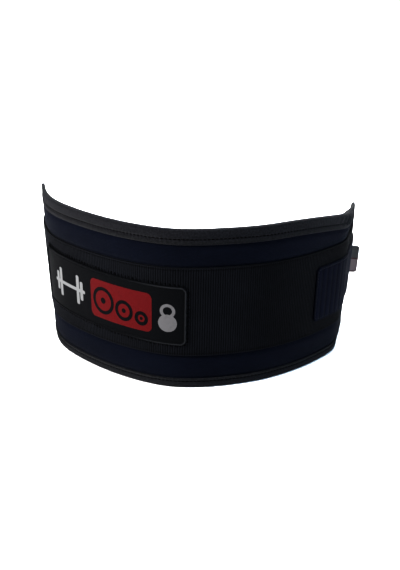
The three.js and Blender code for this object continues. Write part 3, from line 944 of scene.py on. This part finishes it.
def make_webbing():
    end = PANEL_RIGHT - END_TAPE_WIDTH - WEB_END_GAP
    stations = rounded_stations(TAB_END, end, RIB_PITCH / 6, TAB_CORNER_RADIUS, 0, corner_steps=48)
    cut = corner_cut(stations[:, None] - TAB_END, TAB_CORNER_RADIUS)
    flat, faces = sewn_band(
        stations, WEB_FOOT + cut, WEB_TOP - cut, web_outer, WEB_THICKNESS, web_relief,
        WEB_SEAM_INSET, WEB_GROOVE,
    )
    webbing = make_piece("webbing", flat, faces, [ribbed_web], sharp_degrees=60)
    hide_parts("web_band")

    line = np.arange(-PANEL_LEFT + END_TAPE_WIDTH + 2, end - 4, WEB_STITCH_PITCH)
    heights = (WEB_FOOT + WEB_SEAM_INSET, WEB_TOP - WEB_SEAM_INSET)
    spots = np.vstack([np.column_stack([line, np.full_like(line, height)]) for height in heights])
    centres = np.column_stack([spots, web_outer(spots[:, 0]) + BAND_STITCH_SINK])
    directions = np.tile([1.0, 0.0], (len(centres), 1))
    add_stitches("webbing_stitches", centres, directions, length=2.1, radius=0.28, material=dark_thread)


make_webbing()


# Badge: a raised border round a smooth face
BADGE_CENTRE = BADGE_START + BADGE_LENGTH / 2
BADGE_FACE = float(web_outer(BADGE_CENTRE)) - SEAM_GAP - BADGE_THICKNESS
BADGE_STEP = 1.3
BADGE_STITCH_PITCH = 3.6
BADGE_STITCH_OUTSIDE = 1.0
BADGE_STITCH_SLANT = 0.35

# The border's section: distance in from the badge's edge, and rise above its face
BORDER_PROFILE = np.array([
    (0.0, -0.75), (0.15, -0.20), (0.4, 0.35), (0.9, 0.60), (1.4, 0.50),
    (1.8, 0.05), (2.1, -0.25), (2.7, -0.08), (3.5, 0.0),
])
FACE_STEPS = (4.5, 7.0, 11.0)
BADGE_ROWS_REACH = 16.0

# The border's painted highlight starts at this rise above the face
BORDER_RISE = 0.25
BORDER_BLUR = 0.2


def badge_middle(along):
    return WEB_MIDDLE + BADGE_RISE + BADGE_SLOPE * (along - BADGE_CENTRE)


def inside_badge(along, height):
    """Distance in from the badge's rounded outline."""
    reach_along = np.abs(along - BADGE_CENTRE) - BADGE_LENGTH / 2 + BADGE_CORNER_RADIUS
    reach_up = np.abs(height - badge_middle(along)) - BADGE_HEIGHT / 2 + BADGE_CORNER_RADIUS
    beyond = np.hypot(np.clip(reach_along, 0, None), np.clip(reach_up, 0, None))
    within = np.minimum(np.maximum(reach_along, reach_up), 0)
    return BADGE_CORNER_RADIUS - beyond - within


def make_badge():
    radius = BADGE_CORNER_RADIUS
    stations = rounded_stations(BADGE_START, BADGE_END, BADGE_STEP, radius, radius, corner_steps=16)
    along = stations[:, None]
    to_end = np.minimum(along - stations[0], stations[-1] - along)
    half = BADGE_HEIGHT / 2 - corner_cut(to_end, radius)
    steps = np.concatenate([BORDER_PROFILE[:, 0], FACE_STEPS])
    steps = steps * np.minimum(1, half / BADGE_ROWS_REACH)
    middle = badge_middle(along)
    rows = np.hstack([middle - half + steps, middle, (middle + half - steps)[:, ::-1]])
    border = np.interp(inside_badge(along, rows), BORDER_PROFILE[:, 0], BORDER_PROFILE[:, 1])
    flat, faces = slab(stations, rows, rows[:, [0, -1]], BADGE_FACE - border, BADGE_FACE + BADGE_THICKNESS)
    badge = make_piece("badge_face", flat, faces, [badge_look()], sharp_degrees=70)
    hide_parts("badge_patch")


def make_badge_stitches():
    """Whip stitches that come out from under the badge's border and bite into the webbing."""
    corners = np.repeat([(1, 1), (-1, 1), (-1, -1), (1, -1)], 5, axis=0)
    outs = facing((np.arange(4)[:, None] + np.linspace(0, 1, 5)).ravel() * math.pi / 2)
    half = np.array([BADGE_LENGTH, BADGE_HEIGHT]) / 2 - BADGE_CORNER_RADIUS
    spots = corners * half + (BADGE_CORNER_RADIUS + BADGE_STITCH_OUTSIDE) * outs
    outline = np.column_stack([spots, outs])
    outline = np.vstack([outline, outline[:1]])
    run = run_lengths(outline[:, :2])
    at = np.linspace(0, run[-1], round(run[-1] / BADGE_STITCH_PITCH) + 1)[:-1]
    outline = values_at(at, run, outline)
    along = BADGE_CENTRE + outline[:, 0]
    height = badge_middle(along) + outline[:, 1]
    centres = np.column_stack([along, height, web_outer(along) - RIB_RISE / 2])
    outs = unit(outline[:, 2:])
    directions = unit(outs + BADGE_STITCH_SLANT * outs[:, ::-1] * [-1, 1])
    add_stitches("badge_stitches", centres, directions, length=2.8, radius=0.42, material=dark_thread)


make_badge()
make_badge_stitches()


# The badge's print: plain training motifs on the face
PRINT_RISE = 0.10
PRINT_SINK = 0.05
PRINT_STEP = 1.5
PRINT_TIP = 0.01

# A barbell: each plate's offset from the middle and half height
BARBELL_CENTRE = -40.0
BARBELL_PLATES = ((13.0, 13.0), (18.2, 8.5))

# Weight plates: centre and radius of each
PLATES = ((6.0, 12.0), (28.5, 9.0), (45.5, 6.2))
PLATES_FOOT = -12.5
PLATE_RIM = 3.0
PLATE_HOLE = 0.22

KETTLEBELL_CENTRE = 68.0


class Print:
    """Thin raised shapes in one ink, in the badge's own measures from its centre."""

    def __init__(self, level=0):
        self.parts = []
        self.faces = []
        self.count = 0
        self.depth = BADGE_FACE - PRINT_RISE * (level + 1)

    def _add(self, flat, faces):
        self.parts.append(flat)
        self.faces += [[v + self.count for v in face] for face in faces]
        self.count += len(flat)

    def shape(self, stations, low, high):
        """A solid between a lower and an upper line over its stations."""
        along = BADGE_CENTRE + stations
        rows = badge_middle(along)[:, None] + np.column_stack([low, high])
        self._add(*slab(along, rows, rows, self.depth, BADGE_FACE + PRINT_SINK))

    def bar(self, left, right, foot, head, radius):
        """A rectangle with rounded corners."""
        stations = rounded_stations(left, right, PRINT_STEP, radius, radius, corner_steps=8)
        to_end = np.minimum(stations - left, right - stations)
        cut = np.minimum(corner_cut(to_end, radius), (head - foot) / 2 - 2 * PRINT_TIP)
        self.shape(stations, foot + cut, head - cut)

    def disc(self, centre, middle, radius):
        """A round disc, in strips narrow enough to follow the badge's bend."""
        turns = np.linspace(0, math.pi, 33)
        rise = radius * np.sin(turns) + PRINT_TIP
        self.shape(centre - radius * np.cos(turns), middle - rise, middle + rise)

    def ring(self, centre, middle, inner, outer):
        turns = np.linspace(0, 2 * math.pi, 49)[:-1]
        back = BADGE_FACE + PRINT_SINK
        radii = np.array([inner, outer, outer, inner])[:, None]
        depths = np.array([self.depth, self.depth, back, back])[:, None]
        along = BADGE_CENTRE + centre + radii * np.cos(turns)
        height = badge_middle(along) + middle + radii * np.sin(turns)
        flat = np.stack(np.broadcast_arrays(along, height, depths), -1).reshape(-1, 3)
        self._add(flat, closed_faces(*along.shape))

    def finish(self, name, material):
        return make_piece(name, np.vstack(self.parts), self.faces, [material], sharp_degrees=30)


def make_print():
    white, grey, red, dark = Print(), Print(), Print(), Print(level=1)
    white.bar(left=-63, right=-17, foot=-1.5, head=1.5, radius=1.2)
    for side in (-1, 1):
        for offset, half in BARBELL_PLATES:
            centre = BARBELL_CENTRE + side * offset
            white.bar(centre - 2, centre + 2, -half, half, radius=1.4)
    red.bar(left=-9, right=55, foot=-17, head=17, radius=5)
    for centre, radius in PLATES:
        dark.ring(centre, radius + PLATES_FOOT, radius - PLATE_RIM, radius)
        dark.disc(centre, radius + PLATES_FOOT, radius * PLATE_HOLE)
    grey.disc(KETTLEBELL_CENTRE, middle=-6.5, radius=7.6)
    grey.ring(KETTLEBELL_CENTRE, middle=4.0, inner=3.6, outer=6.2)
    white.finish("badge_print_white", ink_look("white_ink", WHITE_INK, WHITE_INK_FADED))
    grey.finish("badge_print_grey", ink_look("grey_ink", GREY_INK, GREY_INK_FADED))
    red.finish("badge_print_red", ink_look("red_ink", RED_INK, RED_INK_FADED))
    dark.finish("badge_print_dark", ink_look("dark_ink", BADGE, BADGE_LIT))


make_print()


# Closing strap: a stitched patch of hook rows on the right, then plain strap round the back
HOOK_PITCH = 8.0
HOOK_RISE = 0.34
HOOK_FADE = 6.0
STRAP_RIB_PITCH = 1.8
STRAP_RIB_RISE = 0.16
STRAP_SEAM_INSET = 2.0
STRAP_GROOVE = 0.24
STRAP_STITCH_PITCH = 2.8
STRAP_START = PANEL_RIGHT - STRAP_SEWN_LENGTH
STRAP_END = LOOP_LENGTH + TAB_END + STRAP_OVERLAP


def rear_share(along):
    return np.clip((along - PANEL_RIGHT) / REAR_LENGTH, 0, 1)


def strap_middle(along):
    share = rear_share(along)
    sag = STRAP_SAG * np.sin(share * math.pi) ** SAG_POWER
    return WEB_MIDDLE + blend(STRAP_RISE, STRAP_TAB_RISE, share) - sag


def strap_outer(along):
    return blend(web_outer(STRAP_START), web_outer(TAB_END), rear_share(along)) - SEAM_GAP - STRAP_THICKNESS


def strap_relief(along, inside):
    """Hook rows on the patch over fine ribs, and ribs alone beyond it."""
    hooks = HOOK_RISE * (rib_profile(along - STRAP_START, HOOK_PITCH, power=0.6) - 0.5)
    ribs = STRAP_RIB_RISE * (rib_profile(along, STRAP_RIB_PITCH) - 0.5)
    plain = smooth(-HOOK_FADE, HOOK_FADE, along - PANEL_RIGHT)
    return (blend(hooks, 0.0, plain) + ribs) * inside


strap_cloth = webbing_look(
    "strap_cloth", STRAP, STRAP_LIT, yarn_pitch=1.1,
    face_depth=float(strap_outer(STRAP_START)), valley=0.15, crest=0.2,
    lift_share=strap_lift_share, sheen=0.012,
)


def make_strap():
    radius = STRAP_CORNER_RADIUS
    stations = rounded_stations(STRAP_START, STRAP_END, STRAP_RIB_PITCH / 4, radius, radius, corner_steps=24)
    along = stations[:, None]
    to_end = np.minimum(along - STRAP_START, STRAP_END - along)
    half = STRAP_HEIGHT / 2 - corner_cut(to_end, radius)
    middle = strap_middle(along)
    flat, faces = sewn_band(
        stations, middle - half, middle + half, strap_outer, STRAP_THICKNESS, strap_relief,
        STRAP_SEAM_INSET, STRAP_GROOVE,
    )
    strap = make_piece("strap", flat, faces, [strap_cloth], sharp_degrees=60)
    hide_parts("closing_strap")


def make_strap_stitches():
    """A row along the patch's three sewn sides."""
    half = STRAP_HEIGHT / 2 - STRAP_SEAM_INSET
    middle = float(strap_middle(STRAP_START))
    radius = STRAP_CORNER_RADIUS - STRAP_SEAM_INSET
    turns = np.linspace(0, math.pi / 2, 6)
    upper = np.column_stack([
        STRAP_START + STRAP_SEAM_INSET + radius - radius * np.sin(turns),
        middle + half - radius + radius * np.cos(turns),
    ])
    start = np.array([[PANEL_RIGHT, middle + half]])
    path = np.vstack([start, upper])
    path = np.vstack([path, path[::-1] * [1, -1] + [0, 2 * middle]])
    run = run_lengths(path)
    at = np.arange(STRAP_STITCH_PITCH, run[-1] - STRAP_STITCH_PITCH, STRAP_STITCH_PITCH)
    spots = values_at(at, run, path)
    directions = unit(values_at(at + 0.5, run, path) - spots)
    centres = np.column_stack([spots, strap_outer(spots[:, 0]) + BAND_STITCH_SINK])
    add_stitches("strap_stitches", centres, directions, length=2.0, radius=0.26, material=grey_thread)


make_strap()
make_strap_stitches()


# Fold label
LABEL_ALONG = PANEL_RIGHT - LABEL_FROM_END
LABEL_FOOT = float(strap_middle(LABEL_ALONG)) - LABEL_HEIGHT / 2
LABEL_CORNER = 2.2
LABEL_BOW = 0.25
LABEL_CURL = 0.2


def make_label():
    ribbon = label_look(LABEL_FOOT)
    base = float(strap_outer(LABEL_ALONG)) - SEAM_GAP
    heights = LABEL_FOOT + LABEL_HEIGHT * np.linspace(0, 1, 26)
    to_edge = np.minimum(heights - LABEL_FOOT, LABEL_FOOT + LABEL_HEIGHT - heights)
    reach = LABEL_REACH - corner_cut(to_edge, LABEL_CORNER)
    curl = LABEL_CURL * np.sin((heights - LABEL_FOOT) / LABEL_HEIGHT * math.pi * 2)
    shares = np.linspace(0, 1, 9)
    columns = []
    for side in (0, 1):
        for share in shares:
            along = LABEL_ALONG + LABEL_THICKNESS * (side + LABEL_BOW * np.sin(share * math.pi))
            columns.append(np.column_stack([along + curl * share, heights, base - reach * share]))
    flat = np.vstack(columns)
    grid = number_grid(len(shares), len(heights))
    faces = grid_faces(grid) + grid_faces(grid + grid.size, flip=True)
    for edge, flip in ((grid[0], True), (grid[-1], False), (grid[:, 0], False), (grid[:, -1], True)):
        faces += grid_faces(np.stack([edge, edge + grid.size]), flip)
    leg = make_piece("label_leg", flat, faces, [ribbon], sharp_degrees=50)
    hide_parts("side_label")

    stations = stations_over(LABEL_ALONG + LABEL_THICKNESS, LABEL_ALONG + LABEL_FLANGE, 0.6)
    rows = np.broadcast_to(heights, (len(stations), len(heights)))
    flat, faces = slab(stations, rows, rows[:, [0, -1]], base - LABEL_THICKNESS * 0.9, base)
    flange = make_piece("label_flange", flat, faces, [ribbon])


make_label()


# Floor, light and camera
LIGHT_TARGET = (0, 0, 0.07)


def make_floor():
    bpy.ops.mesh.primitive_plane_add(size=30)
    floor = bpy.context.object
    floor.name = "floor"
    material = bpy.data.materials.new("pale_floor")
    material.use_nodes = True
    shader = material.node_tree.nodes["Principled BSDF"]
    shader.inputs["Base Color"].default_value = (0.93, 0.93, 0.93, 1)
    shader.inputs["Roughness"].default_value = 0.9
    floor.data.materials.append(material)


def add_light(name, kind, power, spot, target=LIGHT_TARGET, **settings):
    light = bpy.data.lights.new(name, kind)
    light.energy = power
    for key, value in settings.items():
        setattr(light, key, value)
    lamp = add_object(name, light)
    lamp.location = spot
    lamp.rotation_euler = (Vector(target) - Vector(spot)).to_track_quat("-Z", "Y").to_euler()


def make_world(strength):
    world = bpy.data.worlds.new("studio")
    world.use_nodes = True
    background = world.node_tree.nodes["Background"]
    background.inputs["Color"].default_value = (1, 1, 1, 1)
    background.inputs["Strength"].default_value = strength
    bpy.context.scene.world = world


# Camera of the photograph: its distance from a point inside the belt, tilt, roll and framing
CAMERA_AIM = (0.01697, -0.11031, 0.06)
CAMERA_DISTANCE = 0.9065
CAMERA_TILT = math.radians(19.547)
CAMERA_ROLL = 0.0263
CAMERA_LENS = 69.47
CAMERA_SHIFT = (-0.0333, 0.0607)


def make_camera():
    camera_data = bpy.data.cameras.new("camera")
    camera_data.lens = CAMERA_LENS
    camera_data.sensor_width = 36
    camera_data.shift_x, camera_data.shift_y = CAMERA_SHIFT
    camera = add_object("camera", camera_data)
    back = Vector((0, -math.cos(CAMERA_TILT), math.sin(CAMERA_TILT)))
    turn = (-back).to_track_quat("-Z", "Y").to_matrix().to_4x4() @ Matrix.Rotation(CAMERA_ROLL, 4, "Z")
    camera.matrix_world = Matrix.Translation(Vector(CAMERA_AIM) + back * CAMERA_DISTANCE) @ turn
    bpy.context.scene.camera = camera


bpy.context.scene.view_settings.view_transform = "Standard"
bpy.context.scene.view_settings.gamma = 0.75
make_floor()
make_world(0.25)

# Even light from high above, which whitens the floor and grazes the upright cloth, and three soft boxes
add_light("from_above", "SUN", 3.8, (0.11, -0.045, 1), (0, 0, 0), angle=math.radians(10))
add_light("key_left", "AREA", 100, (-1.45, -0.75, 1.0), shape="DISK", size=0.7)
add_light("fill_right", "AREA", 34, (1.6, -0.3, 0.9), shape="DISK", size=1.0, color=(0.52, 0.76, 1.0))
add_light("back", "AREA", 70, (0.25, 1.5, 1.0), shape="DISK", size=1.0)
make_camera()
